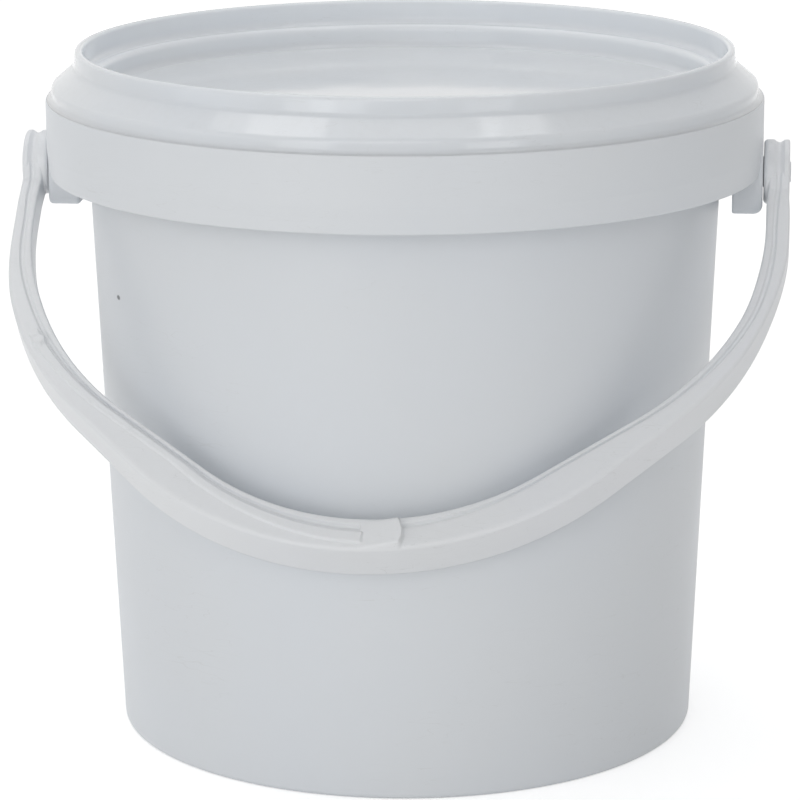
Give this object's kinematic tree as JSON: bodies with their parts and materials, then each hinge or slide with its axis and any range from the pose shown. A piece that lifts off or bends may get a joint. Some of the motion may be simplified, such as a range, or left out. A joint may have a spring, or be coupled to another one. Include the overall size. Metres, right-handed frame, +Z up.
{
  "type": "lidded tub",
  "caption": "Round tapered plastic tub with a press-on recessed lid, a collar round its mouth and a swinging bail handle.",
  "frame": {"origin": "on the tub's axis at the level of the foot ring it stands on", "axes": "+Z up along the tub's axis; X along the handle's pivot axis; -Y is the front, where the handle hangs"},
  "size_m": [0.1432, 0.1344, 0.1283],
  "materials": {
    "tub_plastic": "smooth satin white polypropylene",
    "lid_plastic": "glossy white polypropylene",
    "handle_plastic": "satin white polypropylene"
  },
  "bodies": {
    "tub": {"tub": "tub_plastic"},
    "lid": {"lid": "lid_plastic"},
    "handle": {"handle": "handle_plastic"}
  },
  "joints": [
    {"name": "handle_swing", "type": "hinge", "parent": "tub", "child": "handle", "pos_m": [0, 0, 0.1053], "axis": [-1, 0, 0], "range_deg": [0, 263.5]},
    {"name": "lid_lift", "type": "slide", "parent": "tub", "child": "lid", "axis": [0, 0, 1], "range_m": [0, 0.04]}
  ]
}
